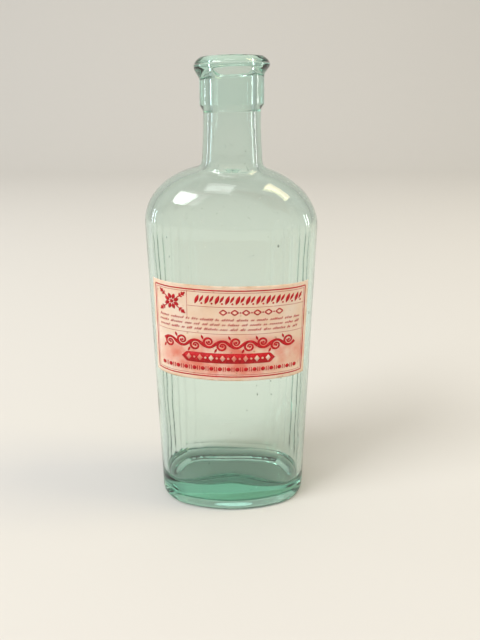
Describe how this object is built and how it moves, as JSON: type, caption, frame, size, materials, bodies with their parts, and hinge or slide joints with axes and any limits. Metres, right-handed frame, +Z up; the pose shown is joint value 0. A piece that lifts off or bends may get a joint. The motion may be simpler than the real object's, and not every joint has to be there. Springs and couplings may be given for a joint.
{
  "type": "poison bottle",
  "caption": "Aqua glass druggist's oval bottle for poison, with a flat back between ribbed corners, a cork bore, a push-up base and a gummed paper label on the bowed front",
  "frame": {"origin": "middle of the base on the surface that the bottle stands on, under the axis of the neck", "axes": "+Z up along the neck; the bowed front with the label faces -Y; +X to the right as the label is read"},
  "size_m": [0.0832, 0.0519, 0.223],
  "materials": {
    "aqua_glass": "fire polished, with seeds and light wear",
    "label_paper": "uncoated cream paper with red print"
  },
  "bodies": {
    "root": {"glass_bottle": "aqua_glass", "paper_label": "label_paper"}
  },
  "joints": []
}
